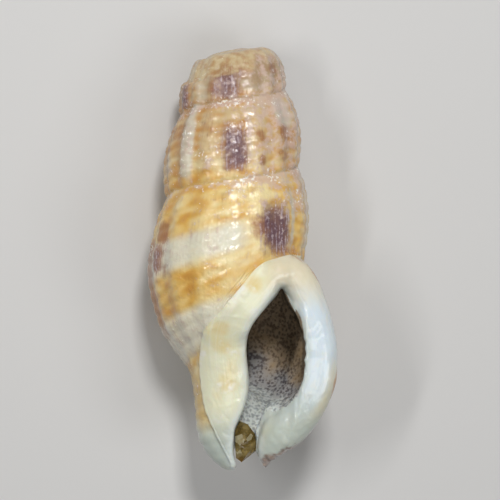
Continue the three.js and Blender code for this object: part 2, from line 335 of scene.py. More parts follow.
# Coloured patches: growth angle, height, half width and half height (mm), strength
PURPLE = [
    (-983, 14.54, 0.5, 0.66, 0.8),
    (-921, 14.05, 0.32, 0.56, 0.9),
    (-632, 12.1, 0.46, 0.72, 1.0),
    (-305, 9.05, 0.66, 0.95, 1.0),
    (-204, 7.97, 0.3, 0.5, 0.7),
    (-780, 13.2, 0.35, 0.6, 0.9),
    (-520, 11.2, 0.4, 0.7, 0.9),
    (-430, 10.8, 0.35, 0.7, 0.8),
    (-110, 7.1, 0.4, 0.7, 0.9),
    (-30, 6.2, 0.3, 0.6, 0.7),
]
BROWN = [
    (-632, 11.5, 0.45, 0.32, 1.0),
    (-292, 9.1, 0.45, 0.45, 0.9),
    (-208, 8.95, 0.34, 0.42, 1.2),
    (-205, 7.97, 0.34, 0.52, 1.4),
    (-655, 12.55, 0.22, 0.26, 0.9),
    (-656, 11.62, 0.22, 0.22, 0.8),
    (-680, 12.68, 0.3, 0.32, 0.9),
    (-678, 11.82, 0.3, 0.24, 0.8),
    (-606, 12.87, 0.34, 0.54, 0.5),
    (-569, 12.7, 0.4, 0.37, 0.6),
    (-1003, 15.16, 0.31, 0.32, 0.5),
    (-1042, 15.08, 0.33, 0.24, 0.8),
    (-967, 14.65, 0.22, 0.75, 0.6),
    (-286, 10.53, 0.29, 0.37, 0.35),
    (-258, 10.3, 0.23, 0.3, 0.35),
    (-214, 7.49, 0.5, 0.3, 0.6),
    # Partly brown colour and partly painted shade: this large patch darkens the last whorl's left
    # edge
    (-174, 6.9, 1.15, 1.9, 1.0),
    (-552, 12.0, 0.3, 1.0, 0.5),
    (-480, 11.0, 0.4, 0.4, 0.7),
    (-140, 8.0, 0.3, 0.4, 0.7),
    (-60, 7.2, 0.4, 0.3, 0.6),
]
WHITE = [
    (-589, 12.1, 0.2, 1.25, 1.0),
    (-953, 14.18, 0.3, 0.5, 0.6),
    (-1013, 14.43, 0.66, 0.26, 0.5),
    (-684, 13.38, 0.5, 0.55, 0.9),
    (-645, 12.6, 0.14, 1.1, 0.6),
    (-556, 11.47, 0.6, 0.56, 0.6),
    (-324, 9.4, 0.16, 1.1, 0.8),
]

# Yellow stains on the callus, seen from the front: x, y, half width and half height (mm), strength
STAINS = [
    (0.79, 7.12, 0.35, 0.45, 1.0),
    (-0.41, 5.4, 0.4, 0.35, 0.9),
    (-0.45, 4.72, 0.4, 0.4, 0.7),
    (-0.15, 3.5, 0.5, 0.75, 0.9),
    (-0.6, 2.7, 0.35, 0.55, 0.7),
    (0.1, 2.5, 0.3, 0.4, 0.5),
    (1.6, 7.75, 0.4, 0.25, 0.6),
]

# White bands on the last whorl: the cords where each one starts, is full, thins and ends, and the
# growth angles over which both begin
BANDS = [(3.2, 4.8, 6.0, 7.4), (9.2, 10.6, 12.2, 13.6)]
BANDS_FROM = (-300, -265)

# Former lips, left as smooth raised ribs: growth angle and the height that they reach down to (mm)
VARICES = [(-350, 8.2), (-587, 10.8), (-705, 12.6)]


def smoothstep(x, low, high):
    t = np.clip((x - low) / (high - low), 0, 1)
    return t * t * (3 - 2 * t)


def between(x, start, full, thin, end):
    """1 from full to thin, falling to 0 at start and at end."""
    return smoothstep(x, start, full) * (1 - smoothstep(x, thin, end))


def smooth_curve(rows):
    """A curve through (x, y) rows without overshoot, for arrays of x."""
    xs, ys = np.array(rows, float).T
    slope = np.diff(ys) / np.diff(xs)
    tangent = np.empty_like(xs)
    tangent[0], tangent[-1] = slope[0], slope[-1]
    for i in range(1, len(xs) - 1):
        before, after = xs[i] - xs[i - 1], xs[i + 1] - xs[i]
        a, b = 2 * after + before, after + 2 * before
        flat = slope[i - 1] * slope[i] <= 0
        tangent[i] = 0 if flat else (a + b) / (a / slope[i - 1] + b / slope[i])

    def at(x):
        i = np.clip(np.searchsorted(xs, x, side="right") - 1, 0, len(xs) - 2)
        span = xs[i + 1] - xs[i]
        t = np.clip((x - xs[i]) / span, 0, 1)
        keep = (1 - t) ** 2
        return (
            (1 + 2 * t) * keep * ys[i]
            + t * keep * span * tangent[i]
            + t * t * (3 - 2 * t) * ys[i + 1]
            + t * t * (t - 1) * span * tangent[i + 1]
        )

    return at


def smooth_columns(table):
    """One smooth curve for each column after the first."""
    return [smooth_curve([(row[0], row[c]) for row in table]) for c in range(1, len(table[0]))]


suture_height, suture_radius = smooth_columns(SUTURE)
whorl_marks = [
    [smooth_curve([(row[0], row[mark][part]) for row in LAST_WHORL]) for part in (0, 1)]
    for mark in range(1, len(LAST_WHORL[0]))
]
callus_edge_x = smooth_curve(CALLUS_EDGE)


def whorl_growth(angle, height):
    """The growth angle of the whorl that shows at an angle and a height, and its share from the
    suture above to the suture below."""
    growth = np.array(np.broadcast_to(angle, np.broadcast(angle, height).shape), float)
    for _ in range(3):
        growth = np.where(height > suture_height(growth), growth - 360, growth)
    above, below = suture_height(growth), suture_height(growth + 360)
    return growth, (above - height) / (above - below)


def last_whorl_radius(angle, heights):
    """The radius of the last whorl at one growth angle and many heights."""
    rows = [(float(h(angle)), float(r(angle))) for h, r in whorl_marks[::-1]]
    rows.append((float(suture_height(angle)), float(suture_radius(angle))))
    return smooth_curve(rows)(heights)


def worn(growth, cords):
    """How far the sculpture is worn away on the side with the aperture, most on the last whorl."""
    last = 1 - smoothstep(np.abs(growth - WORN_MIDDLE), *WORN_ON_LAST)
    from_middle = np.abs((growth - WORN_MIDDLE - 180) % 360 - 180)
    older = 1 - smoothstep(from_middle, *WORN_ON_OLDER)
    older = WEAR_OF_OLD_WHORLS * older * (growth < OLDER_THAN)
    return np.maximum(last, older) * (1 - smoothstep(cords, *WORN_CORDS))


class Coil:
    """The coiled surface as a map over growth angle and height, from the lip back one turn."""

    ANGLE_STEP = 0.5
    HEIGHT_STEP = 0.02
    LOWEST, HIGHEST = -0.5, 16.6

    def __init__(self):
        self.angles = np.arange(LIP_ANGLE - 360, LIP_ANGLE + 0.1, self.ANGLE_STEP)
        self.heights = np.arange(self.LOWEST, self.HIGHEST, self.HEIGHT_STEP)
        angle, height = np.meshgrid(self.angles, self.heights, indexing="ij")
        growth, share = whorl_growth(angle, height)
        spire = suture_radius(growth) * (1 - share) + suture_radius(growth + 360) * share
        spire += WHORL_BULGE * np.sin(np.pi * np.clip(share, 0, 1))
        last = np.array([last_whorl_radius(a, self.heights) for a in self.angles])
        on_last = growth > LIP_ANGLE - 360.01
        tip = whorl_marks[-1][0](angle)
        base_top = suture_height(angle + 360)
        below = np.clip((base_top - height) / (base_top - tip), 0, 1)
        cords = CORDS_PER_WHORL * share
        base_cords = CORDS_PER_WHORL + CORDS_ON_BASE * below
        self.cords = np.where(on_last & (share > 1), base_cords, cords)
        self.growth = growth
        self.plain = np.where(on_last, last, spire)
        self.varix = self.varices(growth, height)
        self.relief = self.ribs(growth, self.cords) + VARIX_HEIGHT * self.varix
        slope = np.gradient(self.plain, self.HEIGHT_STEP, axis=1)
        self.steepness = 1 / np.sqrt(1 + np.clip(slope, -2, 2) ** 2)

    @staticmethod
    def ribs(growth, cords):
        before_lip = 1 - smoothstep(growth, *RIBS_BEFORE_LIP)
        wave = 0.5 + 0.5 * np.cos(np.radians(RIBS_PER_WHORL * (growth - 90)))
        left = 1 - WEAR_OF_RIBS * worn(growth, cords)
        return RIB_HEIGHT * wave * between(cords, *RIBBED_CORDS) * before_lip * left

    @staticmethod
    def varices(growth, height):
        raised = np.zeros(growth.shape)
        for angle, lowest in VARICES:
            across = np.exp(-(((growth - angle) / VARIX_SPREAD) ** 2))
            raised = np.maximum(raised, across * smoothstep(height, lowest, lowest + 0.3))
        return raised

    def place(self, points):
        """Row and column positions on the map, and the radius from the axis, of points."""
        angle = np.degrees(np.arctan2(points[:, 2], points[:, 0]))
        angle = (angle - self.angles[0]) % 360
        row = np.clip(angle / self.ANGLE_STEP, 0, len(self.angles) - 1.001)
        column = (points[:, 1] - self.heights[0]) / self.HEIGHT_STEP
        column = np.clip(column, 0, len(self.heights) - 1.001)
        return row, column, np.hypot(points[:, 0], points[:, 2])

    @staticmethod
    def sample(table, row, column):
        i, j = row.astype(int), column.astype(int)
        u, v = row - i, column - j
        near = table[i, j] * (1 - v) + table[i, j + 1] * v
        far = table[i + 1, j] * (1 - v) + table[i + 1, j + 1] * v
        return near * (1 - u) + far * u

    def distance(self, points):
        row, column, radius = self.place(points)
        outer = self.sample(self.plain + self.relief, row, column)
        outer = outer + CALLUS_HEIGHT * callus_mask(points)
        beyond = (radius - outer) * self.sample(self.steepness, row, column)
        return np.maximum(beyond, TIP_BOTTOM - points[:, 1])


def callus_mask(points):
    """Where the callus thickens the last whorl."""
    x, y, z = points.T
    edge = smoothstep(x - callus_edge_x(np.clip(y, CALLUS_BOTTOM, CALLUS_TOP)), -0.02, 0.06)
    return edge * smoothstep(z, 0, 0.3) * (1 - smoothstep(y, 8.0, 8.2))


def join(a, b, fillet):
    """The smooth union of two distances."""
    h = np.clip(0.5 + 0.5 * (b - a) / fillet, 0, 1)
    return b * (1 - h) + a * h - fillet * h * (1 - h)


def carve(a, b, fillet):
    """A with b taken away."""
    return -join(-a, b, fillet)


def resampled(points, count):
    """A smooth path through points of any dimension, as count points."""
    points = np.array(points, float)
    steps = np.linalg.norm(np.diff(points[:, :3], axis=0), axis=1)
    along = np.concatenate([[0], np.cumsum(steps)])
    spots = np.linspace(0, along[-1], count)
    columns = [smooth_curve(list(zip(along, points[:, c])))(spots) for c in range(points.shape[1])]
    return np.stack(columns, axis=1)


def tube_distance(points, path, count):
    """The distance to a tube whose path rows are x, y, z and radius."""
    rows = resampled(path, count).astype(np.float32)
    best = np.full(len(points), 1e3, np.float32)
    points = points.astype(np.float32)
    for a, b in zip(rows[:-1], rows[1:]):
        line = b[:3] - a[:3]
        t = np.clip((points - a[:3]) @ line / (line @ line), 0, 1)
        gap = points - a[:3] - t[:, None] * line
        best = np.minimum(best, np.sqrt((gap * gap).sum(1)) - (a[3] + t * (b[3] - a[3])))
    return best


def closed_curve(points, count):
    """A smooth closed curve through 2-D points."""
    ring = np.array(points, float)
    before, after, beyond = np.roll(ring, 1, 0), np.roll(ring, -1, 0), np.roll(ring, -2, 0)
    t = np.linspace(0, 1, count, endpoint=False)[:, None, None]
    spline = (
        2 * ring
        + (after - before) * t
        + (2 * before - 5 * ring + 4 * after - beyond) * t**2
        + (3 * ring - before - 3 * after + beyond) * t**3
    ) / 2
    return spline.transpose(1, 0, 2).reshape(-1, 2)


def outline_distance(flat, outline):
    """The signed distance of 2-D points to a closed outline, negative inside."""
    best = np.full(len(flat), 1e3)
    inside = np.zeros(len(flat), bool)
    x, y = flat.T
    for a, b in zip(outline, np.roll(outline, -1, 0)):
        line = b - a
        t = np.clip(((flat - a) @ line) / (line @ line), 0, 1)
        best = np.minimum(best, np.linalg.norm(flat - a - t[:, None] * line, axis=1))
        crosses = (a[1] > y) != (b[1] > y)
        with np.errstate(divide="ignore", invalid="ignore"):
            inside ^= crosses & (x < line[0] * (y - a[1]) / line[1] + a[0])
    return np.where(inside, -best, best)


def break_height(points):
    """How far points lie above the worn, broken apex."""
    tilt = math.radians(BREAK_TILT)
    x, y = points[:, 0] - BREAK_X, points[:, 1] - BREAK_HEIGHT
    across = x * math.cos(tilt) + y * math.sin(tilt)
    up = -x * math.sin(tilt) + y * math.cos(tilt)
    radius = np.hypot(across, points[:, 2])
    turn = np.arctan2(points[:, 2], across)
    profile = np.array(BREAK_PROFILE)
    depth = np.interp(radius, profile[:, 0], profile[:, 1])
    ragged = sum(deep * np.sin(waves * turn + phase) for waves, phase, deep in BREAK_WAVES)
    depth = depth + ragged * smoothstep(radius, 1.0, 1.6)
    spiral = 0.5 + 0.5 * np.cos(turn - 2 * math.pi * radius / BREAK_SPIRAL_PITCH)
    inner = 1 - smoothstep(radius, 1.1, 1.4)
    depth = depth + (BREAK_DIP + BREAK_SPIRAL_DEPTH * spiral) * inner
    return BREAK_STEEPNESS * (up + depth)


def low_by_lip(points):
    """The lower inner edge of the outer lip, which slopes gently into the opening."""
    return smoothstep(points[:, 0], *LOW_LIP_X) * between(points[:, 1], *LOW_LIP_Y)


def opening_distance(points, flat_distance):
    """The aperture, the siphonal canal and its notch."""
    x, y, z = points.T
    floor = NOTCH_FLOOR + sum(rise * smoothstep(y, low, high) for low, high, rise in FLOOR_RISES)
    teeth = TOOTH_HEIGHT * (0.5 + 0.5 * np.cos(2 * math.pi * y / TOOTH_SPACING))
    teeth = teeth * smoothstep(x, *TEETH_X) * between(y, *TEETH_Y)
    lean = LIP_LEAN * low_by_lip(points) * np.clip(LIP_CREST - z, 0, 2)
    return np.maximum(flat_distance + teeth + lean, floor - z)


def hollow_distance(points):
    """The hollow that winds back inside the whorls."""
    angles = np.arange(HOLLOW[0][0], HOLLOW[-1][0] + 1, 10.0)
    middle, height, half_width, half_height = (c(angles) for c in smooth_columns(HOLLOW))
    turn = np.degrees(np.arctan2(points[:, 2], points[:, 0]))
    radius = np.hypot(points[:, 0], points[:, 2])
    best = np.full(len(points), 1e3)
    for lap in range(-2, 1):
        growth = turn + 360 * lap
        on = (growth >= angles[0]) & (growth <= angles[-1])
        g = growth[on]
        across = (radius[on] - np.interp(g, angles, middle)) / np.interp(g, angles, half_width)
        up = (points[on, 1] - np.interp(g, angles, height)) / np.interp(g, angles, half_height)
        near = (np.hypot(across, up) - 1) * np.interp(g, angles, half_width)
        best[on] = np.minimum(best[on], near)
    return best


def chips(points):
    """Small ragged chips off the lip's lower end."""
    x, y, z = points.T
    at_tip = (1 - smoothstep(y - 0.4 * (x - 1.1), 0.35, 0.6)) * smoothstep(x, 0.95, 1.1)
    waves = np.sin(17 * x + 5 * z) + np.sin(29 * y + 11 * x) + np.sin(23 * z - 13 * x + 2)
    return CHIP_DEPTH * at_tip * waves


def within(points, region):
    """Which points lie in a region: least x, greatest y, least z."""
    x, y, z = points.T
    least_x, greatest_y, least_z = region
    return (x > least_x) & (y < greatest_y) & (z > least_z)


class Shell:
    """The whole shell's distance field."""

    def __init__(self):
        self.coil = Coil()
        self.outline = closed_curve(APERTURE, APERTURE_STEPS)

    def skin(self, points):
        """The shell's outside, before the openings."""
        body = self.coil.distance(points)
        near = within(points, LIP_REGION)
        rolled = tube_distance(points[near], LIP, LIP_PIECES)
        inner = tube_distance(points[near], INNER_LIP, TUBE_PIECES)
        lip = np.full(len(points), FAR)
        lip[near] = join(rolled, inner, INNER_LIP_FILLET)
        pillar = np.full(len(points), FAR)
        pillar[near] = tube_distance(points[near], PILLAR, TUBE_PIECES)
        in_front = smoothstep(points[:, 2], 0.6, 1.2) * (1 - smoothstep(points[:, 1], 5.6, 6.6))
        with_lip = join(body, lip, BODY_FILLET + BODY_FILLET_IN_FRONT * in_front)
        return join(with_lip, pillar, PILLAR_FILLET)

    def voids(self, points, flat_distance):
        """The openings and the hollow, joined."""
        near = within(points, TROUGH_REGION)
        trough = np.full(len(points), FAR)
        trough[near] = tube_distance(points[near], TROUGH, TUBE_PIECES)
        opening = join(opening_distance(points, flat_distance), trough, TROUGH_FILLET)
        return join(opening, hollow_distance(points), HOLLOW_FILLET)

    def distance(self, points, flat_distance):
        fillet = OPENING_FILLET + OPENING_FILLET_LOW * low_by_lip(points)
        solid = carve(self.skin(points), self.voids(points, flat_distance), fillet)
        solid = carve(solid, -break_height(points), BREAK_FILLET) + chips(points)
        return np.maximum(solid, -to_frame(points)[:, 2] / MM)


def resting_matrix():
    """From the shell's own frame (mm) to the frame's (m)."""
    roll = Matrix.Rotation(math.radians(LIE_ROLL), 4, "Y")
    pitch = Matrix.Rotation(math.radians(LIE_PITCH), 4, "X")
    return Matrix.Scale(MM, 4) @ Matrix.Translation(LIE_SHIFT) @ pitch @ roll


RESTING = np.array(resting_matrix())


def to_frame(points):
    """Shell points (mm) in the frame (m)."""
    return points @ RESTING[:3, :3].T + RESTING[:3, 3]


def mesh_of(shell):
    """The zero surface of the shell's field, as points (mm) and quads."""
    axes = [np.arange(low, high, VOXEL) for low, high in FIELD_BOX]
    flat = np.stack(np.meshgrid(axes[0], axes[1], indexing="ij"), -1).reshape(-1, 2)
    flat_distance = outline_distance(flat, shell.outline).reshape(len(axes[0]), len(axes[1]))
    field = np.empty([len(axis) for axis in axes], np.float32)
    for i, x in enumerate(axes[0]):
        y, z = np.meshgrid(axes[1], axes[2], indexing="ij")
        points = np.stack([np.full(y.size, x), y.ravel(), z.ravel()], axis=1)
        edge = np.repeat(flat_distance[i], len(axes[2]))
        field[i] = shell.distance(points, edge).reshape(y.shape)
    grid = openvdb.FloatGrid(1.0)
    grid.copyFromArray(field)
    points, quads = grid.convertToQuads(0.0)
    origin = np.array([axis[0] for axis in axes])
    return points.astype(float) * VOXEL + origin, quads


def patch_field(table, growth, points, radius):
    """How strongly a table's patches cover each point."""
    cover = np.zeros(len(points))
    for angle, height, half_width, half_height, strength in table:
        across = np.radians(growth - angle) * radius / half_width
        up = (points[:, 1] - height) / half_height
        away = (np.abs(across) ** 3 + np.abs(up) ** 3) ** (1 / 3)
        cover = np.maximum(cover, strength * (1 - smoothstep(away, 0.4, 1.6)))
    return cover


def stain_field(points):
    """How yellow the callus is at each point."""
    cover = np.zeros(len(points))
    for x, y, half_width, half_height, strength in STAINS:
        away = np.hypot((points[:, 0] - x) / half_width, (points[:, 1] - y) / half_height)
        cover = np.maximum(cover, strength * (1 - smoothstep(away, 0.2, 1.6)))
    return cover


def callus_gap(points, flat_distance):
    """How far points lie inside the callus's edge, as seen from the front (mm)."""
    x, y, z = points.T
    rise = (callus_edge_x(y + 0.05) - callus_edge_x(y - 0.05)) / 0.1
    gap = x - callus_edge_x(np.clip(y, CALLUS_BOTTOM, CALLUS_TOP))
    gap = gap / np.sqrt(1 + rise * rise)
    behind_lip = (z < 0.1 + 0.9 * smoothstep(x, 1.6, 2.6)) & (flat_distance > 0.15)
    return np.where(behind_lip | (z < 0.1) | (y > CALLUS_TOP), -1, np.clip(gap, -1, 1))


def surface_attributes(shell, points):
    """What the materials need to know at each point of the surface."""
    coil = shell.coil
    row, column, radius = coil.place(points)
    nearest = (np.rint(row).astype(int), np.rint(column).astype(int))
    growth, cords = coil.growth[nearest], coil.cords[nearest]
    flat_distance = outline_distance(points[:, :2], shell.outline)
    depth = -shell.skin(points)
    off_void = smoothstep(np.abs(shell.voids(points, flat_distance)), 0.03, 0.17)
    inside = (1 - off_void) * smoothstep(depth, 0.06, 0.25)
    off_coil = smoothstep(np.abs(coil.distance(points)), 0.04, 0.14)
    broken = 1 - smoothstep(-break_height(points), 0.0, 0.06)
    off_lip = tube_distance(points, LIP[3:], LIP_PIECES)
    lip = np.exp(-np.maximum(off_lip, 0) / 0.12)
    lip_outside = smoothstep(points[:, 0] - np.interp(points[:, 1], RIM_Y, RIM_X), -0.12, 0.06)
    gap = callus_gap(points, flat_distance)
    smooth_part = np.maximum(smoothstep(gap, -0.02, 0.04), off_coil) * (1 - broken)
    return {
        "growth": growth,
        "cords": cords,
        "height": points[:, 1],
        "side": points[:, 0],
        "inside": inside,
        "opening": np.clip(flat_distance, -0.5, 2),
        "gap": gap,
        "smooth": off_coil * (1 - broken),
        "broken": broken,
        "rim": lip_outside * lip * smoothstep(points[:, 2], 0.4, 1.0),
        "purple": patch_field(PURPLE, growth, points, radius),
        "brown": patch_field(BROWN, growth, points, radius),
        "white": np.maximum(patch_field(WHITE, growth, points, radius), 0.8 * coil.varix[nearest]),
        "stain": stain_field(points),
        "band": colour_bands(growth, cords),
        "rib": coil.ribs(growth, cords) / RIB_HEIGHT,
        "sculpted": (1 - smooth_part) * (1 - broken) * (1 - inside),
    }


def colour_bands(growth, cords):
    """Where the last whorl's white bands run, by cord."""
    upper, lower = (between(cords, *band) for band in BANDS)
    return np.maximum(upper, lower) * smoothstep(growth, *BANDS_FROM)


def sculpt(points, attributes):
    """Cuts the narrow grooves between the cords into the points."""
    grooves = (0.5 + 0.5 * np.cos(2 * math.pi * attributes["cords"])) ** 3
    before_lip = 1 - smoothstep(attributes["growth"], *CORDS_BEFORE_LIP)
    near_tip = smoothstep(attributes["height"], *CORDS_NEAR_TIP)
    depth = CORD_DEPTH * (1 - WEAR_OF_CORDS * worn(attributes["growth"], attributes["cords"]))
    cut = depth * grooves * before_lip * near_tip * attributes["sculpted"]
    radial = points * np.array([1, 0, 1])
    radial /= np.maximum(np.linalg.norm(radial, axis=1), 1e-6)[:, None]
    return points - radial * cut[:, None]


def new_object(name, points, faces, body, node, smooth=True):
    """A mesh object that stands in for one of the solids."""
    mesh = bpy.data.meshes.new(name)
    mesh.from_pydata([tuple(p) for p in points], [], [tuple(f) for f in faces])
    mesh.validate()
    mesh.polygons.foreach_set("use_smooth", [smooth] * len(mesh.polygons))
    piece = bpy.data.objects.new(name, mesh)
    bpy.context.collection.objects.link(piece)
    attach(piece, body)
    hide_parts(node)
    return piece


def build_shell():
    shell = Shell()
    points, quads = mesh_of(shell)
    attributes = surface_attributes(shell, points)
    points = sculpt(points, attributes)
    piece = new_object("shell_surface", to_frame(points), quads.tolist(), "root", "shell")
    for name, values in attributes.items():
        layer = piece.data.attributes.new(name, "FLOAT", "POINT")
        layer.data.foreach_set("value", np.asarray(values, np.float32))
    return piece


def build_grain():
    corners = np.array(GRAIN)
    corners[:, 0] += GRAIN_SPREAD * np.sign(corners[:, 0] - GRAIN_MIDDLE)
    corners = to_frame(corners)
    mesh = bmesh.new()
    for corner in corners:
        mesh.verts.new(corner)
    bmesh.ops.convex_hull(mesh, input=mesh.verts)
    mesh.verts.index_update()
    points = [tuple(v.co) for v in mesh.verts]
    faces = [[v.index for v in f.verts] for f in mesh.faces]
    mesh.free()
    return new_object("grain_surface", points, faces, "root", "canal_grain", smooth=False)


class Nodes:
    """Short-hand for building a material's nodes."""

    def __init__(self, name):
        self.material = bpy.data.materials.new(name)
        self.material.use_nodes = True
        self.tree = self.material.node_tree
        self.shader = self.tree.nodes["Principled BSDF"]

    def add(self, kind, inputs=None, **settings):
        node = self.tree.nodes.new(kind)
        for key, value in settings.items():
            setattr(node, key, value)
        for key, value in (inputs or {}).items():
            if isinstance(value, bpy.types.NodeSocket):
                self.tree.links.new(value, node.inputs[key])
            else:
                node.inputs[key].default_value = value
        return node

    def attribute(self, name):
        return self.add("ShaderNodeAttribute", attribute_name=name).outputs["Fac"]

    def stretched(self, across, across_scale, down, down_scale):
        """Coordinates along and down a whorl, each at its own scale."""
        x = self.times(across, across_scale)
        y = self.times(down, down_scale)
        return self.add("ShaderNodeCombineXYZ", {"X": x, "Y": y}).outputs[0]

    def math(self, operation, a, b=0.0):
        return self.add("ShaderNodeMath", {0: a, 1: b}, operation=operation).outputs[0]

    def sum(self, *values):
        total = values[0]
        for value in values[1:]:
            total = self.math("ADD", total, value)
        return total

    def times(self, *values):
        total = values[0]
        for value in values[1:]:
            total = self.math("MULTIPLY", total, value)
        return total

    def noise(self, scale, detail, vector, distortion=0.0):
        inputs = {"Vector": vector, "Scale": scale, "Detail": detail, "Distortion": distortion}
        return self.add("ShaderNodeTexNoise", inputs).outputs["Fac"]

    def step(self, value, low, high):
        inputs = {"Value": value, "From Min": low, "From Max": high}
        node = self.add("ShaderNodeMapRange", inputs, interpolation_type="SMOOTHSTEP")
        return node.outputs["Result"]

    def mix(self, factor, a, b):
        return self.add("ShaderNodeMix", {0: factor, 6: a, 7: b}, data_type="RGBA").outputs[2]

    def paint(self, under, over, cover, strength):
        """One colour laid over another where cover is 1, at a strength."""
        return self.mix(self.times(cover, strength), under, over)

    def bump(self, height, strength, distance):
        inputs = {"Strength": strength, "Distance": distance, "Height": height}
        return self.add("ShaderNodeBump", inputs).outputs["Normal"]


def srgb(red, green, blue):
    """A display colour, 0 to 255, as the linear colour that nodes take."""
    shares = [c / 255 for c in (red, green, blue)]
    return (*[((s + 0.055) / 1.055) ** 2.4 if s > 0.04 else s / 12.92 for s in shares], 1.0)


# Ground colours of the last whorls, and of the old ones
CREAM = srgb(238, 220, 166)
YELLOW = srgb(224, 182, 94)
ORANGE = srgb(207, 152, 68)
BASE_TAN = srgb(206, 178, 116)
OLD_CREAM = srgb(200, 172, 130)
OLD_ORANGE = srgb(184, 132, 76)
OLD_FROST = srgb(156, 137, 118)

# Bands, former lips, patches and bloom
BAND_WHITE = srgb(224, 221, 202)
VARIX_WHITE = srgb(206, 202, 186)
PATCH_BROWN = srgb(150, 88, 48)
PATCH_EDGE = srgb(152, 100, 74)
PATCH_PURPLE = srgb(98, 70, 86)
SCRATCH_WHITE = srgb(208, 192, 196)
BLOOM_PINK = srgb(214, 190, 178)
CRUST_WHITE = srgb(246, 240, 228)

# Callus and columella
GLAZE_PALE = srgb(234, 233, 204)
GLAZE_CREAM = srgb(238, 228, 178)
GLAZE_YELLOW = srgb(230, 204, 128)
GLAZE_WHITE = srgb(242, 240, 226)
GLAZE_GREY = srgb(188, 196, 186)
GLAZE_BY_OPENING = srgb(222, 228, 224)

# Lip
LIP_GREY = srgb(194, 202, 191)
LIP_BLUE = srgb(214, 226, 232)
LIP_CREAM = srgb(226, 216, 188)
LIP_YELLOW = srgb(224, 206, 156)
LIP_BY_CANAL = srgb(222, 208, 164)
LIP_CLOUD = srgb(232, 226, 204)
LIP_BY_OPENING = srgb(190, 198, 188)
LIP_LINES = srgb(244, 240, 226)
RIM_ORANGE = srgb(188, 132, 70)
CHIP_BROWN = srgb(124, 92, 74)
CHIP_GREY = srgb(176, 156, 146)

# Broken apex
BREAK_PALE = srgb(222, 204, 160)
BREAK_TAN = srgb(190, 150, 92)

# Lining: each zone's pits and ground, lightened as painted light against the shade inside the
# hollow
LINING_BROWN = (srgb(134, 113, 92), srgb(194, 171, 141))
LINING_GREY = (srgb(96, 90, 92), srgb(172, 170, 168))
LINING_PALE = (srgb(160, 165, 164), srgb(218, 223, 218))
LINING_OCHRE = srgb(186, 152, 102)
# Painted shade just inside the opening's edge, where the wall turns into the hollow
PAINTED_EDGE_SHADE = srgb(98, 86, 71)

# Grain and floor
GRAIN_DARK = srgb(120, 98, 44)
GRAIN_PALE = srgb(176, 154, 96)
GRAIN_CHIP = srgb(214, 204, 166)
GRAIN_AMBER = srgb(150, 102, 30)
FLOOR_GREY = srgb(208, 207, 205)

# Noise scales (per metre), and how deep the bumps are (m)
CLOUD_SCALE = 450
COARSE_SCALE = 1100
LUMP_SCALE = 1600
FINE_SCALE = 3500
PIT_SCALE = 7500.0
SPECK_SCALE = 9000
GRAIN_CLOUD_SCALE = 2500
GRAIN_CHIP_SCALE = 3200.0
SHELL_BUMP = 0.00006
GRAIN_BUMP = 0.00008

# Heights (mm) over which looks change, in the direction of the change
OLD_WHORLS = (10.4, 12.4)
BASE_TURNS_GREY = (2.0, 1.3)
GLAZE_TURNS_GREY = (2.6, 0.8)
LIP_TURNS_BLUE = (1.5, 4.0)
LIP_TURNS_CREAM = (5.8, 7.4)
UPPER_LIP = (2.4, 3.6)


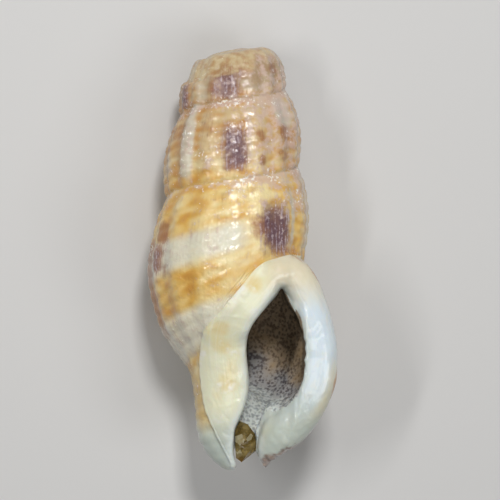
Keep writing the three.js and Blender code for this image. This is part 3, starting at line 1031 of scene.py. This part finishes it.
class ShellLook(Nodes):
    """The shell's material. Each part of the look is laid over the colour so far."""

    def __init__(self):
        super().__init__("shell")
        self.place = self.add("ShaderNodeTexCoord").outputs["Object"]
        self.rib, self.cords = self.attribute("rib"), self.attribute("cords")
        self.height, self.side = self.attribute("height"), self.attribute("side")
        self.opening, self.gap = self.attribute("opening"), self.attribute("gap")
        growth = self.attribute("growth")
        self.cloud = self.noise(CLOUD_SCALE, 3, self.place)
        self.coarse = self.noise(COARSE_SCALE, 3, self.place)
        self.fine = self.noise(FINE_SCALE, 4, self.place)
        self.speck = self.noise(SPECK_SCALE, 2, self.place)
        self.axial = self.noise(1.0, 3, self.stretched(growth, 0.5, self.cords, 0.35))
        self.cells = self.noise(1.0, 1, self.stretched(growth, 0.06, self.cords, 0.9))
        self.rings = self.noise(1.0, 2, self.stretched(self.opening, 9.0, self.height, 0.25))
        self.groove = self.math("COSINE", self.times(self.cords, 2 * math.pi))
        self.old = self.step(self.height, *OLD_WHORLS)
        self.upper = self.step(self.height, *UPPER_LIP)
        self.smooth_part = self.smooth_parts()
        inside = self.sum(self.attribute("inside"), self.uneven(fine=0.8))
        self.inside = self.step(inside, 0.15, 0.85)

    def uneven(self, **strengths):
        """A sum of the named noises, each moved to run either side of 0 and at its own strength."""
        centred = [self.math("SUBTRACT", getattr(self, name), 0.5) for name in strengths]
        return self.sum(*[self.times(c, s) for c, s in zip(centred, strengths.values())])

    def smooth_parts(self):
        """Where the callus, the columella and the lip are, and the base's smooth end."""
        smooth = self.math("MAXIMUM", self.step(self.gap, -0.01, 0.03), self.attribute("smooth"))
        low = self.sum(self.height, self.uneven(coarse=1.0))
        return self.math("MAXIMUM", smooth, self.step(low, *BASE_TURNS_GREY))

    def ground(self):
        """Yellow cream with orange clouds, paler on the ribs, more orange towards the sides as
        painted shade, and greyer on the old whorls.
        """
        grid = self.times(self.sum(self.groove, 0.3), self.math("SUBTRACT", 0.6, self.rib))
        # Painted shade: from_middle makes the ground more orange towards both sides of the shell as
        # seen from the front
        from_middle = self.math("ABSOLUTE", self.math("SUBTRACT", self.side, 0.2))
        amber = self.times(self.step(self.cords, 6.6, 7.6), self.step(self.cords, 10.2, 9.2))
        orange = self.sum(
            self.cloud,
            self.times(self.cells, 0.9),
            self.uneven(coarse=0.4),
            self.times(self.rib, -0.18),
            self.times(grid, -0.14),
            self.times(self.step(from_middle, 0.9, 2.4), 0.24),
            self.times(amber, 0.12),
        )
        colour = self.mix(self.step(orange, 0.65, 1.2), CREAM, YELLOW)
        colour = self.mix(self.step(orange, 1.0, 1.4), colour, ORANGE)
        colour = self.paint(colour, BASE_TAN, self.step(self.cords, 12.5, 16.0), 0.7)
        tan = self.mix(self.step(orange, 0.75, 1.2), OLD_CREAM, OLD_ORANGE)
        colour = self.paint(colour, tan, self.old, 0.75)
        frost = self.sum(self.times(self.height, 0.5), self.uneven(cloud=3.0))
        return self.paint(colour, OLD_FROST, self.step(frost, 6.8, 7.5), 0.6)

    def white_bands(self, colour):
        """The last whorl's white bands, and the white former lips."""
        band = self.sum(self.attribute("band"), self.uneven(cloud=1.2, cells=0.6))
        colour = self.paint(colour, BAND_WHITE, self.step(band, 0.1, 1.0), 0.92)
        white = self.sum(self.attribute("white"), self.uneven(coarse=1.0))
        return self.paint(colour, VARIX_WHITE, self.step(white, 0.2, 0.9), 0.8)

    def patches(self, colour):
        """Brown patches, then purple ones that keep a brown edge and are scratched white."""
        ragged = self.uneven(fine=0.9, axial=0.6, coarse=0.8)
        brown = self.sum(self.attribute("brown"), ragged)
        colour = self.paint(colour, PATCH_BROWN, self.step(brown, 0.2, 0.95), 0.75)
        purple = self.attribute("purple")
        edge = self.sum(purple, ragged)
        colour = self.paint(colour, PATCH_EDGE, self.step(edge, -0.1, 0.9), 0.75)
        colour = self.paint(colour, PATCH_PURPLE, self.step(edge, 0.15, 1.15), 0.9)
        scratch = self.step(self.sum(self.axial, self.times(self.speck, 0.6)), 0.8, 1.0)
        scratch = self.times(scratch, self.step(purple, 0.1, 0.5))
        return self.paint(colour, SCRATCH_WHITE, scratch, 0.6)

    def bloom(self, colour):
        """A chalky, pinkish bloom on the old whorls and along the sutures, with white crumbs."""
        near_suture = self.math("SUBTRACT", 1.0, self.step(self.cords, 0.1, 1.2))
        right = self.times(self.step(self.side, -0.6, 1.4), self.step(self.height, 9.0, 10.2))
        bloom = self.sum(
            self.uneven(coarse=1.0, fine=1.6, speck=0.8),
            self.times(near_suture, 0.4),
            self.times(right, 0.35),
            self.times(self.old, 0.1),
            self.times(self.attribute("brown"), -0.3),
        )
        colour = self.paint(colour, BLOOM_PINK, self.step(bloom, 0.15, 0.6), 0.65)
        crust = self.sum(
            self.uneven(speck=1.6, coarse=1.2),
            self.times(near_suture, 0.1),
            self.times(self.step(self.height, 8.6, 10.0), 0.08),
        )
        return self.paint(colour, CRUST_WHITE, self.step(crust, 0.38, 0.5), 0.85)

    def glaze(self):
        """The callus and the columella: cream, stained yellow, greyer towards the canal."""
        colour = self.mix(self.step(self.cloud, 0.4, 0.65), GLAZE_PALE, GLAZE_CREAM)
        stain = self.sum(self.attribute("stain"), self.uneven(coarse=1.6, cloud=1.2))
        colour = self.paint(colour, GLAZE_YELLOW, self.step(stain, 0.1, 1.2), 0.8)
        white = self.step(self.sum(self.coarse, self.uneven(fine=0.5)), 0.55, 0.75)
        colour = self.mix(white, colour, GLAZE_WHITE)
        colour = self.mix(self.step(self.height, *GLAZE_TURNS_GREY), colour, GLAZE_GREY)
        return self.paint(colour, GLAZE_BY_OPENING, self.step(self.opening, 0.45, 0.05), 0.7)

    def lip(self):
        """The outer lip: blue-white, greyer below, cream above and yellower low on its outside."""
        colour = self.mix(self.step(self.height, *LIP_TURNS_BLUE), LIP_GREY, LIP_BLUE)
        colour = self.mix(self.step(self.height, *LIP_TURNS_CREAM), colour, LIP_CREAM)
        low_down = self.times(self.step(self.height, 4.6, 3.6), self.step(self.height, 1.6, 2.6))
        outer = self.times(self.step(self.opening, 0.75, 1.1), low_down)
        colour = self.paint(colour, LIP_YELLOW, outer, 0.5)
        by_canal = self.times(self.step(self.side, 1.3, 1.0), self.step(self.height, 2.0, 1.4))
        colour = self.paint(colour, LIP_BY_CANAL, by_canal, 0.7)
        warm = self.step(self.sum(self.coarse, self.uneven(fine=0.6)), 0.5, 0.72)
        warm = self.times(warm, self.sum(self.times(self.upper, 0.27), 0.08))
        colour = self.mix(warm, colour, LIP_CLOUD)
        return self.paint(colour, LIP_BY_OPENING, self.step(self.opening, 0.3, 0.06), 0.6)

    def smooth_colours(self, colour):
        """The callus, the columella and the lip, with growth lines near the lip's edge."""
        smooth = self.mix(self.step(self.side, 0.9, 1.7), self.glaze(), self.lip())
        lines = self.times(self.step(self.rings, 0.5, 0.75), self.upper)
        smooth = self.paint(smooth, LIP_LINES, lines, 0.3)
        colour = self.mix(self.smooth_part, colour, smooth)
        rim = self.step(self.sum(self.attribute("rim"), self.uneven(coarse=1.4)), 0.5, 1.0)
        return self.paint(colour, RIM_ORANGE, rim, 0.8)

    def worn_ends(self, colour):
        """The lip's chipped lower end and the broken apex."""
        slope = self.times(self.math("SUBTRACT", self.side, 1.1), 0.4)
        tip = self.sum(self.math("SUBTRACT", self.height, slope), self.uneven(fine=0.5))
        tip = self.times(self.step(tip, 0.6, 0.4), self.step(self.side, 0.95, 1.15))
        chipped = self.mix(self.step(self.fine, 0.4, 0.6), CHIP_BROWN, CHIP_GREY)
        colour = self.paint(colour, chipped, tip, 0.85)
        chalk = self.mix(self.step(self.fine, 0.35, 0.65), BREAK_PALE, BREAK_TAN)
        return self.paint(colour, chalk, self.attribute("broken"), 0.6)

    def lining(self, colour):
        """The dark, pitted lining, browner above and paler towards the canal. Its colours are
        lightened as painted light against the hollow's shade, and darkened as painted shade just
        inside the opening's upper edge.
        """
        cells = self.add("ShaderNodeTexVoronoi", {"Vector": self.place, "Scale": PIT_SCALE})
        pits = self.sum(cells.outputs["Distance"], self.uneven(fine=1.0, speck=1.6, coarse=0.6))
        pits = self.step(pits, 0.1, 0.8)
        brown, grey, pale = (
            self.mix(pits, *zone) for zone in (LINING_BROWN, LINING_GREY, LINING_PALE)
        )
        brown = self.paint(brown, LINING_OCHRE, self.step(self.coarse, 0.52, 0.68), 0.4)
        fade = self.sum(self.height, self.times(self.side, 0.6), self.uneven(coarse=2.0), -0.3)
        lining = self.mix(self.step(fade, 5.0, 3.9), brown, grey)
        lining = self.mix(self.step(fade, 3.9, 2.8), lining, pale)
        # Painted shade: the lining darkens at and beyond the opening's edge, high up
        edge = self.times(self.step(self.opening, -0.12, -0.03), self.step(self.height, 3.0, 4.2))
        lining = self.paint(lining, PAINTED_EDGE_SHADE, edge, 0.7)
        return self.mix(self.inside, colour, lining)

    def gloss(self):
        """Roughness: the smooth parts shine most and the lining least."""
        smooth, inside = self.times(self.smooth_part, -0.1), self.times(self.inside, 0.35)
        return self.sum(0.45, smooth, inside, self.uneven(coarse=0.3))

    def callus_relief(self):
        """The callus's raised edge, and the fine waves beside it high up."""
        from_edge = self.math("ABSOLUTE", self.math("SUBTRACT", self.gap, 0.03))
        ridge = self.times(self.step(from_edge, 0.07, 0.0), 1.2)
        waves = self.math("COSINE", self.times(self.gap, 2 * math.pi / 0.11))
        near_edge = self.times(self.step(self.gap, -0.36, -0.2), self.step(self.gap, 0.04, -0.04))
        high_up = self.times(self.step(self.height, 6.0, 6.5), self.step(self.height, 7.8, 7.3))
        return self.sum(ridge, self.times(waves, near_edge, high_up, 0.35))

    def relief(self):
        """Fine relief: grooves between the cords, growth lines, pitted ground, the callus."""
        sculpted = self.attribute("sculpted")
        rough = self.math("SUBTRACT", 1.0, self.times(self.smooth_part, 0.65))
        ground = self.sum(self.fine, self.times(self.speck, 0.5), self.times(self.coarse, 1.2))
        lumps = self.noise(LUMP_SCALE, 1, self.place, 0.6)
        return self.sum(
            self.times(self.groove, sculpted, -0.15),
            self.times(self.axial, sculpted, 0.5),
            self.times(ground, rough),
            self.times(lumps, 1.6),
            self.times(self.rings, self.upper, 0.4),
            self.callus_relief(),
        )


def shell_material():
    n = ShellLook()
    colour = n.bloom(n.patches(n.white_bands(n.ground())))
    colour = n.lining(n.worn_ends(n.smooth_colours(colour)))
    normal = n.bump(n.relief(), 0.5, SHELL_BUMP)
    n.tree.links.new(colour, n.shader.inputs["Base Color"])
    n.tree.links.new(n.gloss(), n.shader.inputs["Roughness"])
    n.tree.links.new(normal, n.shader.inputs["Normal"])
    n.tree.links.new(normal, n.shader.inputs["Coat Normal"])
    n.shader.inputs["Subsurface Weight"].default_value = 0.4
    n.shader.inputs["Subsurface Radius"].default_value = (1.0, 0.75, 0.5)
    n.shader.inputs["Subsurface Scale"].default_value = 0.00015
    n.shader.inputs["Coat Weight"].default_value = 0.7
    n.shader.inputs["Coat Roughness"].default_value = 0.08
    return n.material


def grain_material():
    """Amber glass with pale chipped facets, browner at its lower end."""
    n = Nodes("grain")
    place = n.add("ShaderNodeTexCoord").outputs["Object"]
    cloud = n.noise(GRAIN_CLOUD_SCALE, 3, place)
    chips = n.add("ShaderNodeTexVoronoi", {"Vector": place, "Scale": GRAIN_CHIP_SCALE})
    colour = n.mix(n.step(cloud, 0.4, 0.65), GRAIN_DARK, GRAIN_PALE)
    colour = n.mix(n.step(chips.outputs["Color"], 0.62, 0.75), colour, GRAIN_CHIP)
    low = n.step(n.add("ShaderNodeSeparateXYZ", {0: place}).outputs["Y"], -0.0072, -0.0077)
    colour = n.paint(colour, GRAIN_AMBER, low, 0.7)
    facets = n.sum(chips.outputs["Distance"], n.times(cloud, 0.8))
    n.tree.links.new(colour, n.shader.inputs["Base Color"])
    n.tree.links.new(n.bump(facets, 0.9, GRAIN_BUMP), n.shader.inputs["Normal"])
    n.shader.inputs["Roughness"].default_value = 0.1
    n.shader.inputs["IOR"].default_value = 1.54
    n.shader.inputs["Transmission Weight"].default_value = 0.55
    return n.material


def floor_material():
    n = Nodes("floor")
    n.shader.inputs["Base Color"].default_value = FLOOR_GREY
    n.shader.inputs["Roughness"].default_value = 0.7
    return n.material


def build_floor():
    bpy.ops.mesh.primitive_plane_add(size=FLOOR_SIZE, location=(0, 0, 0))
    floor = bpy.context.object
    floor.name = "floor"
    floor.data.materials.append(floor_material())


def add_light(name, location, size, power):
    light = bpy.data.lights.new(name, "AREA")
    light.shape = "RECTANGLE"
    light.size, light.size_y = size
    light.energy = power
    lamp = bpy.data.objects.new(name, light)
    lamp.location = location
    lamp.rotation_euler = (-Vector(location)).to_track_quat("-Z", "Y").to_euler()
    bpy.context.collection.objects.link(lamp)


def add_lights():
    for light in LIGHTS:
        add_light(*light)
    world = bpy.data.worlds.new("studio")
    world.use_nodes = True
    world.node_tree.nodes["Background"].inputs["Color"].default_value = SKY_COLOUR
    world.node_tree.nodes["Background"].inputs["Strength"].default_value = SKY_STRENGTH
    bpy.context.scene.world = world
    bpy.context.scene.view_settings.view_transform = "Standard"


def add_camera():
    camera = bpy.data.objects.new("camera", bpy.data.cameras.new("camera"))
    centre = Vector(VIEW_CENTRE)
    resting = resting_matrix()
    turn = resting.to_3x3().normalized().to_4x4()
    place = resting @ (centre + Vector((0, 0, CAMERA_DISTANCE)))
    camera.matrix_world = Matrix.Translation(place) @ turn
    camera.data.sensor_width = SENSOR_WIDTH
    camera.data.lens = SENSOR_WIDTH * CAMERA_DISTANCE / VIEW_HEIGHT
    camera.data.clip_start = 0.001
    bpy.context.collection.objects.link(camera)
    bpy.context.scene.camera = camera


shell = build_shell()
shell.data.materials.append(shell_material())
grain = build_grain()
grain.data.materials.append(grain_material())
build_floor()
add_lights()
add_camera()
